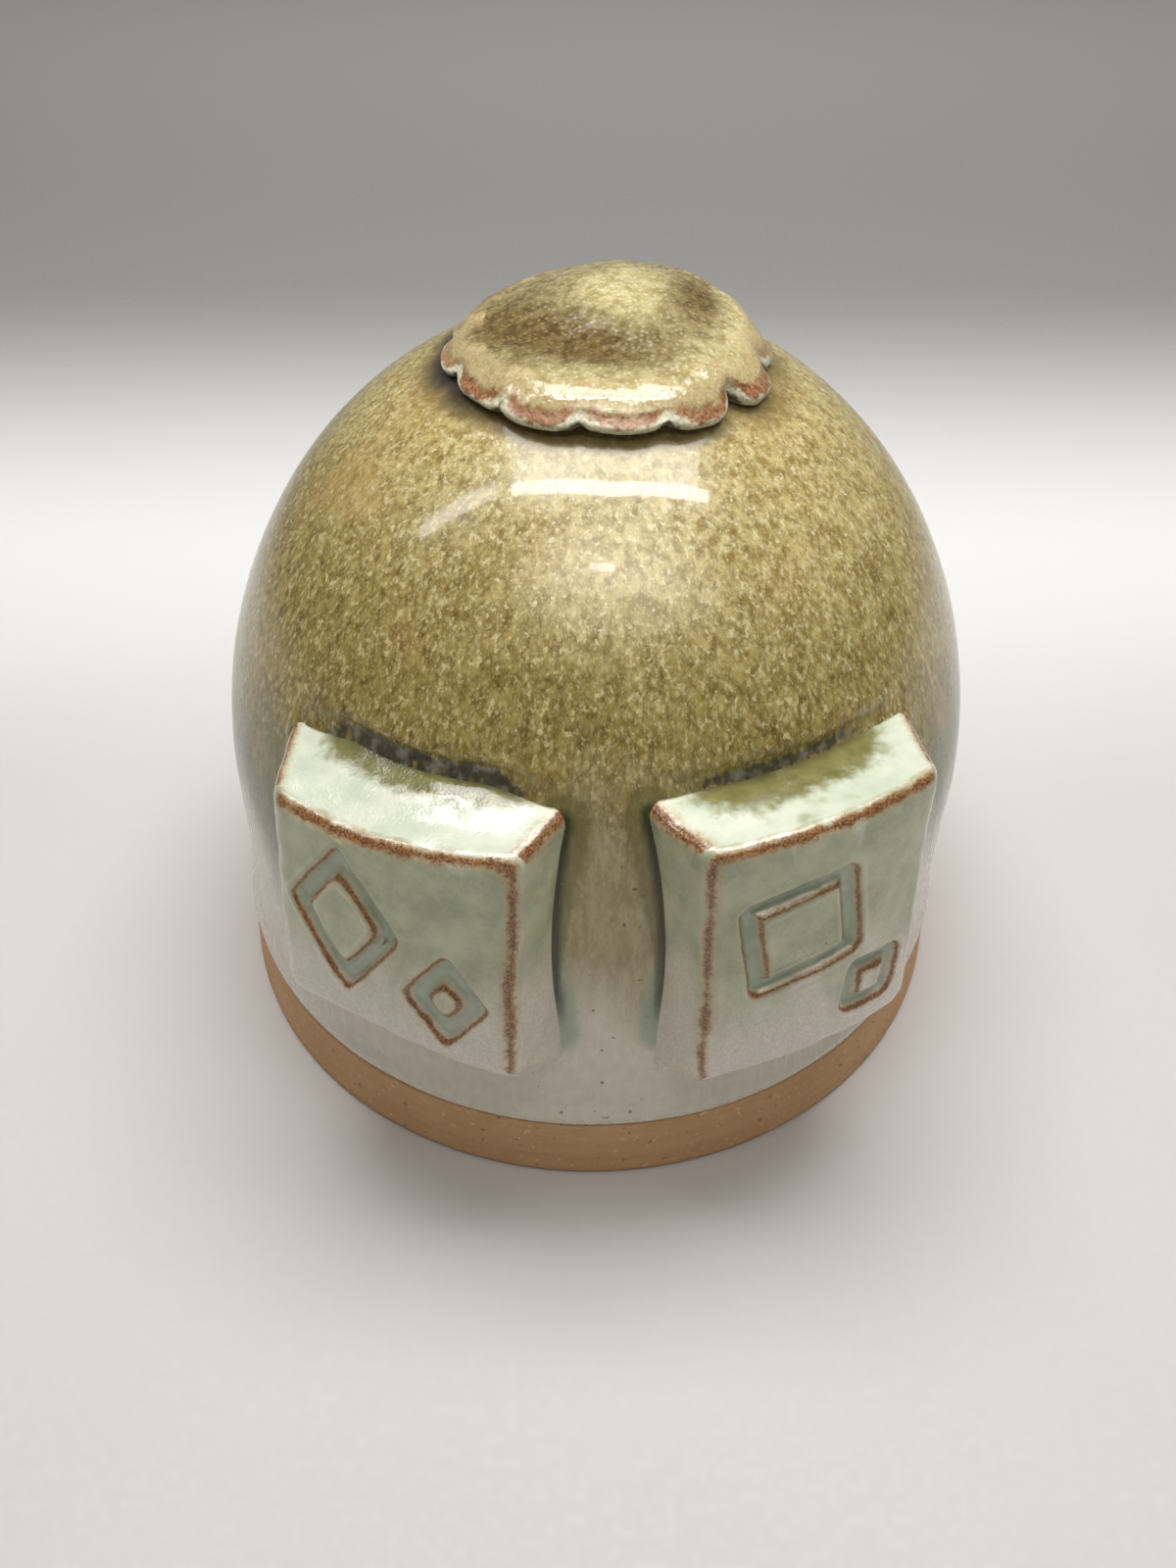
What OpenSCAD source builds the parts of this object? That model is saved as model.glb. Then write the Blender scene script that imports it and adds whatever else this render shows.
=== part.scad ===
// Handmade stoneware salt shaker. The dome is closed: salt goes in and comes out through a funnel in the base.
// Sizes are in millimetres. The foot stands on z = 0 and the front, with its two tiles, faces -Y.

/* [Body] */
// Diameter of the foot on the table
foot_d = 84; // [81:0.5:88]
// Diameter where the wall turns upright and the dome begins
shoulder_d = 81; // [78:0.5:83]
// Height of that shoulder above the table
shoulder_z = 29; // [26:0.5:32]
// Height of the dome's crown, under the cap
crown_z = 76.5; // [73:0.5:80]
// Thickness of the thrown wall
wall_t = 5; // [4:0.25:6]
// Sideways lean of the thrown form, in degrees
lean = 1.1; // [0:0.1:1.5]

/* [Foot] */
// Height of the bare clay foot, up to the seam and the edge of the glaze
foot_h = 8.6; // [8:0.1:10]
// Thickness of the floor
floor_t = 5; // [4:0.25:5]
// Width of the ring that stands on the table
foot_ring_w = 6; // [5:0.5:8]
// Depth of the trimmed recess inside that ring
recess_h = 1.5; // [1:0.1:2]
// Bevel on the foot's outer edge
foot_bevel = 0.8; // [0.4:0.1:1.2]

/* [Funnel] */
// Diameter of the funnel's mouth in the floor
mouth_d = 40; // [36:1:44]
// Diameter of the hole at the funnel's tip
tip_d = 9; // [8:0.5:11]
// Height of the funnel's tip above the table
tip_z = 38; // [34:1:42]
// Wall of the funnel at its mouth
funnel_t = 3.5; // [3:0.25:4]
// Wall of the funnel at its tip
tip_t = 2.5; // [2:0.25:3]

/* [Cap] */
// Diameter of the cap across its lobes
cap_d = 30.6; // [29:0.2:33]
// Where the middle of the cap sits, off the axis
cap_shift = [0.2, 0.8]; // [0:0.1:1]
// Thickness of the cap's rolled front rim
cap_rim_t = 1.9; // [1.6:0.1:2.6]
// Least thickness of the cap, where it is pinched thin
cap_min_t = 0.8; // [0.6:0.1:1.2]
// Height of the mound at the back of the cap
mound_h = 1.3; // [0.8:0.1:1.8]
// How far the cap's front edge curls up off the dome
cap_lift = 0.9; // [0:0.1:2.4]
// Number of lobes pinched around the rim
cap_lobes = 12; // [10:1:14]
// Depth of the thumb print in the cap
dimple_h = 1.1; // [0.4:0.1:1.2]

/* [Tiles] */
// Distance from the axis to the middle of a tile's face
tile_face_r = 45; // [44:0.25:47]
// Radius to which a tile's face is bowed
tile_bow_r = 42; // [40:1:60]
// Left tile: width of its face
left_w = 24.6; // [23:0.2:26]
// Left tile: height of its face at its outer edge, then at its inner edge
left_h = [21, 25.2]; // [20:0.2:27]
// Left tile: height of the middle of its face
left_z = 36.6; // [35:0.2:38]
// Left tile: angle around the axis, from the front
left_turn = -26; // [-28:0.5:-25]
// Left tile: backward tilt and sideways roll
left_tilt = [9, 3]; // [0:0.5:10]
// Right tile: width of its face
right_w = 23.4; // [22:0.2:25]
// Right tile: height of its face at its inner edge, then at its outer edge
right_h = [28.6, 29.2]; // [27:0.2:30]
// Right tile: height of the middle of its face
right_z = 36.8; // [36:0.2:38]
// Right tile: angle around the axis, from the front
right_turn = 28; // [27:0.5:30]
// Right tile: backward tilt and sideways roll
right_tilt = [6, -1]; // [-2:0.5:9]
// Depth of the channels pressed into the tiles
press_h = 0.8; // [0.4:0.1:1.2]

/* [Slip joints] */
// Thickness of the slip that bonds the pieces
slip_t = 0.6; // [0.4:0.1:0.8]
// How far the slip stops short of a piece's edge
slip_setback = 1.2; // [0.8:0.1:1.6]

/* [Hidden] */
$fn = 96;

// Colours of the bare clay, the wet-looking slip and the three tones of the glaze
clay = [0.72, 0.50, 0.34];
slip_grey = [0.42, 0.42, 0.38];
olive = [0.55, 0.50, 0.29];
cream = [0.68, 0.62, 0.42];
celadon = [0.70, 0.77, 0.69];

// Body: a skirt that splays towards the foot, and half an ellipse above the shoulder
foot_r = foot_d / 2;
shoulder_r = shoulder_d / 2;
dome_rise = crown_z - shoulder_z;
dome_step = 3;
skirt_steps = 8;
foot_top = foot_h - slip_t / 2;
dome_bottom = foot_h + slip_t / 2;
floor_top = recess_h + floor_t;
far = 200;

function skirt_r(z) = shoulder_r + (foot_r - shoulder_r) * pow((shoulder_z - z) / shoulder_z, 2);
function dome_z(r) = shoulder_z + dome_rise * sqrt(1 - pow(r / shoulder_r, 2));
function skirt_points(grow, z0, z1) = [
    for (i = [0 : skirt_steps]) let (z = z0 + (z1 - z0) * i / skirt_steps) [skirt_r(z) + grow, z]
];
function dome_points(grow) = [
    for (a = [dome_step : dome_step : 90])
        [(shoulder_r + grow) * cos(a), shoulder_z + (dome_rise + grow) * sin(a)]
];

// The thrown form as a solid, grown by an even thickness
module thrown_solid(grow) {
    rotate_extrude()
        polygon(concat([[0, 0]], skirt_points(grow, 0, shoulder_z), dome_points(grow)));
}

module leaning() {
    rotate([0, lean, 0]) children();
}

module below(z) {
    translate([-far / 2, -far / 2, z - far]) cube(far);
}

// Foot
mouth_r = mouth_d / 2;
ring_inner_r = foot_r - foot_ring_w;
foot_inner_r = skirt_r(foot_h) - wall_t;

module foot_base() {
    color(clay) difference() {
        rotate_extrude()
            polygon(concat(
                [[0, 0], [foot_r - foot_bevel, 0]],
                skirt_points(0, foot_bevel, foot_top),
                [[0, foot_top]]
            ));
        translate([0, 0, -far / 2]) cylinder(r = ring_inner_r, h = recess_h + far / 2);
        translate([0, 0, -far / 2]) cylinder(r = mouth_r, h = far);
        translate([0, 0, floor_top]) cylinder(r = foot_inner_r, h = far);
    }
}

module seam_slip() {
    color(slip_grey) translate([0, 0, foot_top]) difference() {
        cylinder(r = foot_inner_r + wall_t - slip_setback / 2, h = slip_t);
        translate([0, 0, -far / 2]) cylinder(r = foot_inner_r + slip_setback / 2, h = far);
    }
}

// Funnel: a cone that stands on the floor, with a short straight hole at its tip
tip_r = tip_d / 2;
tip_bore_h = 3;
funnel_bottom = floor_top + slip_t;

module pour_funnel() {
    color(clay) rotate_extrude()
        polygon([
            [mouth_r, funnel_bottom],
            [mouth_r + funnel_t, funnel_bottom],
            [tip_r + tip_t, tip_z],
            [tip_r, tip_z],
            [tip_r, tip_z - tip_bore_h]
        ]);
}

module funnel_slip() {
    color(slip_grey) translate([0, 0, floor_top]) difference() {
        cylinder(r = mouth_r + funnel_t - slip_setback / 2, h = slip_t);
        translate([0, 0, -far / 2]) cylinder(r = mouth_r + slip_setback / 2, h = far);
    }
}

// Dome
module dome_shell() {
    color(olive) difference() {
        leaning() difference() {
            thrown_solid(0);
            thrown_solid(-wall_t);
        }
        below(dome_bottom);
    }
}

// Cap: a disc draped over the crown, with a mound at its back, a scalloped rim and a thumb print
cap_r = cap_d / 2;
cap_clear = 0.05;
cap_gap = slip_t + cap_clear;
lobe_steps = 8;
lobe_turn = 5;
// Depth of each pinch between two lobes, counted from the right side towards the back
notch_h = [1.4, 1, 0.6, 0.5, 0.5, 0.6, 0.9, 0.9, 0.4, 0.6, 0.5, 2.2];
cap_sectors = cap_lobes * lobe_steps;
cap_rings = [0.2, 0.4, 0.6, 0.8, 0.93, 1];
under_rings = [1, 0.85, 0.6, 0.3];
crest_f = 0.85;
rim_wall = 0.5;
mound_at = [2.5, 8.2];
mound_size = [9.7, 7.7];
cap_slope = 0.5;
// Share of the rim's thickness that the cap keeps at its back
back_share = 0.9;
dimple_at = [-3.5, -4.7];
dimple_size = [9, 3.8];
dimple_turn = -25;

function notch_depth(i) = notch_h[floor(i / lobe_steps + 0.5) % len(notch_h)];
function cap_edge(i) = cap_r - notch_depth(i) * pow(abs(2 * (i % lobe_steps) / lobe_steps - 1), 3);
function cap_angle(i) = lobe_turn + 360 * (i / lobe_steps - 0.5) / cap_lobes;
function cap_at(i, f) = cap_edge(i) * f * [cos(cap_angle(i)), sin(cap_angle(i))];
function bump(p, at, size, turn) = let (d = p - at, c = cos(turn), s = sin(turn))
    exp(-pow((d.x * c + d.y * s) / size.x, 2) - pow((d.y * c - d.x * s) / size.y, 2));
function front_share(p) = 1 / (1 + exp(p.y / 2.5));
function cap_t(p) = cap_rim_t * (back_share + (1 - back_share) * front_share(p))
    + cap_slope * p.x / cap_r * (1 - front_share(p) / 2)
    + mound_h * bump(p, mound_at, mound_size, 0) - dimple_h * bump(p, dimple_at, dimple_size, dimple_turn);
function round_off(f) = 1 - (1 - rim_wall) * pow(max(0, f - crest_f) / (1 - crest_f), 2);
function curl(p) = cap_lift * pow(max(0, -p.y / cap_r), 2);
function cap_under(p) = dome_z(norm(p + cap_shift)) + cap_gap + curl(p);
function cap_over(p, f) = cap_under(p) + max(cap_t(p), cap_min_t) * round_off(f);

function over_ring(f) = [
    for (i = [0 : cap_sectors - 1]) let (p = cap_at(i, f)) [p.x, p.y, cap_over(p, f)]
];
function under_ring(f) = [
    for (i = [0 : cap_sectors - 1]) let (p = cap_at(i, f)) [p.x, p.y, cap_under(p)]
];
function flat(lists) = [for (l = lists) each l];

// Triangles between two neighbouring rings of points, and from a ring to a single point
function band_faces(a, b) = flat([
    for (i = [0 : cap_sectors - 1]) let (j = (i + 1) % cap_sectors)
        [[a + i, b + j, b + i], [a + i, a + j, b + j]]
]);
function fan_faces(tip, a, up) = [
    for (i = [0 : cap_sectors - 1]) let (j = (i + 1) % cap_sectors)
        up ? [tip, a + j, a + i] : [tip, a + i, a + j]
];

module top_cap() {
    rings = concat([for (f = cap_rings) over_ring(f)], [for (f = under_rings) under_ring(f)]);
    ring_count = len(rings);
    centre = [0, 0];
    points = concat(
        flat(rings), [[0, 0, cap_over(centre, 0)], [0, 0, cap_under(centre)]]
    );
    top_tip = ring_count * cap_sectors;
    faces = concat(
        fan_faces(top_tip, 0, true),
        flat([for (k = [0 : ring_count - 2]) band_faces(k * cap_sectors, (k + 1) * cap_sectors)]),
        fan_faces(top_tip + 1, (ring_count - 1) * cap_sectors, false)
    );
    color(cream) leaning() translate(cap_shift) polyhedron(points, faces);
}

module cap_slip() {
    color(slip_grey) leaning() intersection() {
        difference() {
            thrown_solid(slip_t);
            thrown_solid(0);
        }
        cylinder(r = cap_r - max(notch_h) - 2 * slip_setback, h = far);
    }
}

// Tiles: slabs bowed to the dome, with sides that spread towards it
inner_draft = 11;
outer_draft = 18.5;
left_top_draft = 12;
right_top_draft = 2;
bottom_draft = 26;
slab_depth = 14;
slab_front = 2;
even_depth = 9;

// A slab in its own frame: face in the XZ plane, outward along -Y, sides spreading with depth.
// Its size is its width, then the height of its left and right edges, which even out with depth.
// Its drafts are the slopes of its left side, its right side and its top.
module slab_block(size, drafts, inset) {
    function half_height(x, z, y) = let (h = size[x < 0 ? 1 : 2], even = max(size[1], size[2]))
        h / 2 + y * (tan(z > 0 ? drafts[2] : bottom_draft) + (even - h) / 2 / even_depth);
    function corner(x, z, y) = [
        x * (size[0] / 2 + y * tan(drafts[x < 0 ? 0 : 1]) - inset),
        y,
        z * (half_height(x, z, y) - inset)
    ];
    points = [for (y = [-slab_front, slab_depth]) for (c = [[-1, -1], [1, -1], [1, 1], [-1, 1]])
        corner(c.x, c.y, y)];
    sides = [[3, 2, 1, 0], [4, 5, 6, 7], [0, 1, 5, 4], [1, 2, 6, 5], [2, 3, 7, 6], [3, 0, 4, 7]];
    polyhedron(points, flat([for (q = sides) [[q[0], q[1], q[2]], [q[0], q[2], q[3]]]]));
}

module bow(r) {
    translate([0, tile_bow_r, -far / 2]) cylinder(r = r, h = far);
}

module against_wall(turn, z, tilt) {
    rotate([0, 0, turn]) translate([0, -tile_face_r, z]) rotate([-tilt[0], -tilt[1], 0]) children();
}

module tile(size, drafts, turn, z, tilt) {
    leaning() difference() {
        against_wall(turn, z, tilt) difference() {
            intersection() {
                slab_block(size, drafts, 0);
                bow(tile_bow_r);
            }
            difference() {
                rotate([90, 0, 0]) linear_extrude(slab_depth, center = true) children();
                bow(tile_bow_r - press_h);
            }
        }
        thrown_solid(slip_t);
    }
}

module tile_slip(size, drafts, turn, z, tilt) {
    color(slip_grey) leaning() intersection() {
        against_wall(turn, z, tilt) slab_block(size, drafts, slip_setback);
        difference() {
            thrown_solid(slip_t);
            thrown_solid(0);
        }
    }
}

left_size = [left_w, left_h[0], left_h[1]];
right_size = [right_w, right_h[0], right_h[1]];
left_drafts = [outer_draft, inner_draft, left_top_draft];
right_drafts = [inner_draft, outer_draft, right_top_draft];

// Pressed outlines of salt crystals: lozenges on the left tile, squares on the right one
press_w = 2;
lozenge_at = [[-4.5, 1], [6.3, -4.8]];
lozenge_size = [[12.5, 17], [8, 11]];
square_at = [[-2.5, 2.5], [6.8, -8]];
square_size = [12, 7.5];
square_turn = [8, -6];

// A channel of even width inside an outline whose inscribed circle has radius r
module channel(points, r) {
    difference() {
        polygon(points);
        polygon(points * (1 - press_w / r));
    }
}

module lozenge(at, size) {
    half = size / 2;
    translate(at)
        channel([[half.x, 0], [0, half.y], [-half.x, 0], [0, -half.y]], half.x * half.y / norm(half));
}

module crystal_square(at, size, turn) {
    half = size / 2;
    translate(at) rotate(turn)
        channel([[half, half], [-half, half], [-half, -half], [half, -half]], half);
}

module left_tile() {
    color(celadon) tile(left_size, left_drafts, left_turn, left_z, left_tilt)
        for (i = [0, 1]) lozenge(lozenge_at[i], lozenge_size[i]);
}

module right_tile() {
    color(celadon) tile(right_size, right_drafts, right_turn, right_z, right_tilt)
        for (i = [0, 1]) crystal_square(square_at[i], square_size[i], square_turn[i]);
}

module left_tile_slip() {
    tile_slip(left_size, left_drafts, left_turn, left_z, left_tilt);
}

module right_tile_slip() {
    tile_slip(right_size, right_drafts, right_turn, right_z, right_tilt);
}

foot_base();
seam_slip();
pour_funnel();
funnel_slip();
dome_shell();
cap_slip();
top_cap();
left_tile_slip();
left_tile();
right_tile_slip();
right_tile();
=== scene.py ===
"""Looks of a handmade stoneware salt shaker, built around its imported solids.

Shapes are worked out in millimetres in the frame of the solids: the foot stands on z = 0, the tiles face -Y.
"""

import math
from collections import namedtuple

import bpy
import numpy as np
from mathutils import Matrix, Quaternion, Vector, noise


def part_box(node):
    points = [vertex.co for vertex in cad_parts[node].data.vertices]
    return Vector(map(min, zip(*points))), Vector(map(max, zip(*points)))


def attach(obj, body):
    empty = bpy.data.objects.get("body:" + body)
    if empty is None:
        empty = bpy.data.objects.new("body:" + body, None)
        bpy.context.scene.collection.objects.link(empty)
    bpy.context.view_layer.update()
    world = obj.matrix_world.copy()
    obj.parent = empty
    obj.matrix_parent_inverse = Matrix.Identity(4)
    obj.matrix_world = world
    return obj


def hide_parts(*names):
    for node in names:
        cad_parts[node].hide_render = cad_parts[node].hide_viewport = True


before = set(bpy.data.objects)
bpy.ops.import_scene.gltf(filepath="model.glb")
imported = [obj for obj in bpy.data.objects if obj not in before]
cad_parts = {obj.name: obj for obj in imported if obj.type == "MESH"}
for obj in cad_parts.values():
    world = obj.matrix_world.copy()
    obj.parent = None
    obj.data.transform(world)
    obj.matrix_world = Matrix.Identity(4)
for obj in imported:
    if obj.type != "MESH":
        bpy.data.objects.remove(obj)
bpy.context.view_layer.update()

MM = 0.001

# Body: a skirt below the shoulder and half an ellipse above it, leaning a little
FOOT_R = 42.0
SHOULDER_R = 40.5
SHOULDER_Z = 29.0
CROWN_Z = 76.5
DOME_RISE = CROWN_Z - SHOULDER_Z
WALL_T = 5.0
LEAN = math.radians(1.1)
DOME_COLUMNS = 480
DOME_STEP = 0.7
SKIRT_ROWS = 44
INNER_ROWS = 40
WALL_LUMP_H = 0.1
WALL_RIPPLE_H = 0.04
MENISCUS_H = 0.25
MENISCUS_W = 1.1

# How far above the edge of the glaze the dome's inside starts
INNER_START = 0.3

# Glaze edge: a thick rolled lip that ends just above the foot
LIP_GAP = 0.12
LIP_WAVE = 0.22
LIP_BULGE = 0.35
LIP_AT = 1.0
LIP_WIDTH = 1.1
LIP_ROUND = 0.35
LIP_ROWS = 5

# Foot and funnel
FOOT_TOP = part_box("foot_base")[1].z / MM
FOOT_RING_W = 6.0
RECESS_H = 1.5
FLOOR_TOP = 6.5
MOUTH_R = 20.0
TIP_R = 4.5
TIP_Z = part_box("pour_funnel")[1].z / MM
TIP_T = 2.5
TIP_BORE_H = 3.0
FUNNEL_T = 3.5
FUNNEL_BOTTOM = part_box("pour_funnel")[0].z / MM
THROWN_COLUMNS = 320
PROFILE_STEP = 0.45
CORNER_POINTS = 7
FOOT_RINGS_H = 0.05
FUNNEL_RINGS_H = 0.08

# Cap: a pinched disc on the crown, domed at its back and rolled up at its front
CAP_R = 15.3
CAP_SHIFT = (0.2, 0.8)
CAP_GAP = 0.65
CAP_RIM_T = 1.9
CAP_MIN_T = 0.25
CAP_LIFT = 0.9
CAP_LOBES = 12
NOTCH_DEPTHS = (1.0, 0.6, 0.5, 0.5, 0.6, 0.9, 0.9, 0.4, 0.6, 0.5, 2.2, 1.4)
NOTCH_LIFT = 0.3
LOBE_TURN = math.radians(5)
LOBE_COLUMNS = 40
CREST_R = 11.7
ROLL_BULGE = 0.35
ROLL_DROP = 0.45
WAIST_H = 0.04
TUCK = 0.7
TUCK_DROP = 0.25
BACK_GAP = 0.12
FRONT_FREE = 9
MOUND_H = 1.35
MOUND_AT = (2.5, 8.2)
MOUND_SIZE = (9.7, 7.7)
CAP_SLOPE = 0.5
CAP_BACK_SHARE = 0.9
FRONT_FADE = 5.0
THUMB_H = 1.1
THUMB_AT = (-3.5, -4.7)
THUMB_SIZE = (9.0, 3.8)
THUMB_TURN = math.radians(-25)
CAP_TOP_ROWS = 47
CAP_ROLL_ROWS = 25
CAP_TUCK_ROWS = 5
CAP_UNDER_ROWS = 12

# Down the cap's rim, as shares of its fall: where the roll and the waist above it are, and their widths
ROLL_AT = 0.84
ROLL_W = 0.13
WAIST_AT = 0.58
WAIST_W = 0.07

# How far over the rim the cap's crest and its underside are
RIM_CREST = 0.12
RIM_UNDER = 1.4

# Unevenness of the hand-pinched cap: size, reach and seed
CAP_LUMPS = ((3, 0.14, 31), (0.9, 0.05, 34))

# Where the cap's glaze is pale, partly as a painted highlight on the mound, and where it is dark besides the
# thumb print, partly as painted shade on its slopes
PALE_AT = (1.0, 2.0)
PALE_SIZE = (6.5, 4.5)
LEFT_DARK_AT = (-8.0, 2.0)
LEFT_DARK_SIZE = (6.0, 5.0)
RIGHT_DARK_AT = (8.7, 2.2)
RIGHT_DARK_SIZE = (4.0, 4.5)

# Tiles: bowed slabs whose sides spread towards the dome
TILE_FACE_R = 45.0
TILE_BOW_R = 42.0
INNER_DRAFT = math.tan(math.radians(11))
OUTER_DRAFT = math.tan(math.radians(18.5))
BOTTOM_DRAFT = math.tan(math.radians(26))
SLAB_DEPTH = 14.0
TILE_COLUMNS = 440
FACE_ROWS = 56
SIDE_ROWS = 26
BACK_ROWS = 12
BEND_ROWS = 10
EDGE_ROUND = 1.2
CORNER_ROUND = 1.3
SLIP_T = 0.6
SLIP_SETBACK = 1.2
SLIP_PLAY = 0.03
SEAM_BITE = 0.15
FURROW_BITE = 1.5
FURROW_H = 0.9
FURROW_W = 2.4
# Width of the dark staining and painted shade in the furrow above the tiles
STAIN_AND_SHADE_W = 0.3

# Depth at which a slab is as high at its left as at its right
EVEN_DEPTH = 9.0

# Steps in which the depth of the wall behind a slab is found
HALVINGS = 30

# Unevenness of the tiles: size and reach
TILE_LUMPS = ((7, 0.22), (2, 0.08))

# Channels pressed into the tiles: a lozenge has its middle and size, a square its middle, side and turn
PRESS_H = 0.8
PRESS_W = 2.0
RIDGE_H = 0.15
LOZENGES = (((-4.5, 1), (12.5, 17)), ((6.3, -4.8), (8, 11)))
SQUARES = (((-2.5, 2.5), 12, 8), ((6.2, -7.8), 6.8, -6))
SQUARE_ROUND = 1.2
LOZENGE_SOFTNESS = 0.3
LOZENGE_CUT = 0.2

# Camera, lamps and floor: places in metres, the lens and its sensor in millimetres
CAMERA_AT = (0, -0.12636, 0.14186)
CAMERA_PITCH = math.radians(45.59)
CAMERA_YAW = math.radians(0.109)
CAMERA_LENS = 33.75
CAMERA_SENSOR = 36
LAMP_Z = 0.42
AIM_Z = 0.04
GLOW_Y = -0.23
GLOW_COLOUR = (1, 0.92, 0.76)
WORLD_GREY = (0.5, 0.5, 0.5, 1)
WORLD_STRENGTH = 0.32
FLOOR_HALF = 3.0

# Numbers of the colour sockets of a Mix node
MIX_A = 6
MIX_B = 7
MIX_RESULT = 2


def tint(red, green, blue):
    """A colour written as 0 to 255 sRGB, as the linear colour that shaders take."""
    parts = [c / 255 for c in (red, green, blue)]
    return [c / 12.92 if c <= 0.04045 else ((c + 0.055) / 1.055) ** 2.4 for c in parts] + [1.0]


def rise(value, low, high):
    """0 at low, 1 at high, smooth between and flat beyond. It falls where low is above high."""
    t = np.clip((value - low) / (high - low), 0, 1)
    return t * t * (3 - 2 * t)


def wobble(points, size, seed):
    """Smooth noise from about -1 to 1 at each point, with features of about that size."""
    shift = Vector((seed * 17.3, seed * 5.1, seed * 9.7))
    return np.array([noise.noise(Vector(p) / size + shift) for p in points])


def push(points, size, seed):
    """Smooth pushes along X, Y and Z at each point, each of about -1 to 1."""
    return np.stack([wobble(points, size, seed + k) for k in range(3)], axis=-1)


def bell(x, y, at, size):
    """1 at a place, falling away smoothly over a size along X and Y."""
    return np.exp(-((x - at[0]) / size[0]) ** 2 - ((y - at[1]) / size[1]) ** 2)


def skirt_r(z):
    """Radius of the upright thrown form below the shoulder."""
    return SHOULDER_R + (FOOT_R - SHOULDER_R) * ((SHOULDER_Z - z) / SHOULDER_Z) ** 2


def dome_z(r):
    """Height of the upright thrown form above the shoulder."""
    return SHOULDER_Z + DOME_RISE * np.sqrt(1 - (r / SHOULDER_R) ** 2)


def wall_gap(points):
    """About how far points are outside the upright thrown form."""
    r = np.hypot(points[..., 0], points[..., 1])
    up = points[..., 2] - SHOULDER_Z
    share = np.hypot(r / SHOULDER_R, up / DOME_RISE)
    return np.where(up > 0, np.hypot(r, up) * (1 - 1 / share), r - skirt_r(points[..., 2]))


def leaning(points):
    """Points of the upright thrown form, leaning as the object does."""
    x, y, z = np.moveaxis(points, -1, 0)
    return np.stack([
        x * math.cos(LEAN) + z * math.sin(LEAN),
        y,
        z * math.cos(LEAN) - x * math.sin(LEAN),
    ], axis=-1)


def loft(rings, tips=None):
    """Points and faces of a closed skin over rings of equal length, in order from outside to inside.

    Two tips close its ends; without them the last ring meets the first."""
    rings = np.asarray(rings)
    count, columns = rings.shape[:2]
    points = rings.reshape(-1, 3)
    here = np.arange(columns)
    there = (here + 1) % columns
    faces = []
    for row in range(count - 1 if tips is not None else count):
        a, b = row * columns, (row + 1) % count * columns
        faces += np.stack([a + here, b + here, b + there, a + there], axis=1).tolist()
    if tips is not None:
        first, last = len(points), len(points) + 1
        points = np.concatenate([points, tips])
        end = (count - 1) * columns
        faces += [[first, a, b] for a, b in zip(here.tolist(), there.tolist())]
        faces += [[last, end + b, end + a] for a, b in zip(here.tolist(), there.tolist())]
    return points, faces


def add_piece(name, skin, material, slot, node, **attributes):
    """A smooth closed piece that stands for a node, with a value at each point for each attribute."""
    points, faces = skin
    mesh = bpy.data.meshes.new(name)
    mesh.from_pydata((points * MM).tolist(), [], faces)
    for label, values in attributes.items():
        mesh.attributes.new(label, "FLOAT", "POINT").data.foreach_set("value", values.astype(np.float32))
    mesh.shade_smooth()
    mesh.materials.append(material)
    piece = bpy.data.objects.new(name, mesh)
    bpy.context.scene.collection.objects.link(piece)
    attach(piece, "root")
    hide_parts(node)


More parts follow.
